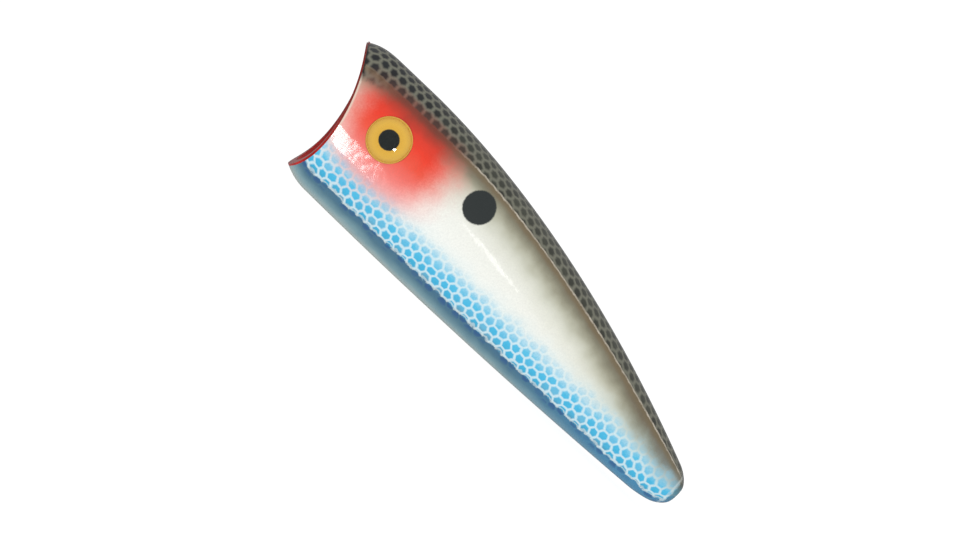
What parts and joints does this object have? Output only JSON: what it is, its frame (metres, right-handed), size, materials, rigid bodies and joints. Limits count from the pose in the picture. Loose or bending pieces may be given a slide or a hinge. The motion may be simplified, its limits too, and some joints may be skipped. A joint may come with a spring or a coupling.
{
  "type": "topwater popper",
  "caption": "Hollow fishing lure body with a red cupped mouth insert, inset domed eyes, a tail ballast slug, loose rattle balls and pilot sockets for screw eyes.",
  "frame": {"origin": "mouth of the line-tie pilot socket, on the centre plane in the floor of the mouth cup", "axes": "+X towards the mouth along the socket and parallel to the keel, +Z towards the back, +Y to the lure's left side"},
  "size_m": [0.0758, 0.0184, 0.0225],
  "materials": {
    "painted_shell": "gloss",
    "red_cup": "gloss",
    "eye_print": "satin",
    "clear_lens": "gloss",
    "ballast_brass": "satin",
    "ball_steel": "polished"
  },
  "bodies": {
    "lure_body": {"left_shell": "painted_shell", "right_shell": "painted_shell", "mouth_cup": "red_cup", "left_eye_disc": "eye_print", "right_eye_disc": "eye_print", "left_eye_lens": "clear_lens", "right_eye_lens": "clear_lens", "tail_ballast": "ballast_brass"},
    "front_ball": {"rattle_ball_front": "ball_steel"},
    "middle_ball": {"rattle_ball_middle": "ball_steel"},
    "rear_ball": {"rattle_ball_rear": "ball_steel"}
  },
  "joints": [
    {"name": "front_ball_roll", "type": "slide", "parent": "lure_body", "child": "front_ball", "axis": [-1, 0, 0], "range_m": [0, 0.0031]},
    {"name": "middle_ball_roll", "type": "slide", "parent": "lure_body", "child": "middle_ball", "axis": [-1, 0, 0], "range_m": [0, 0.0031]},
    {"name": "rear_ball_roll", "type": "slide", "parent": "lure_body", "child": "rear_ball", "axis": [-1, 0, 0], "range_m": [0, 0.0031]}
  ]
}
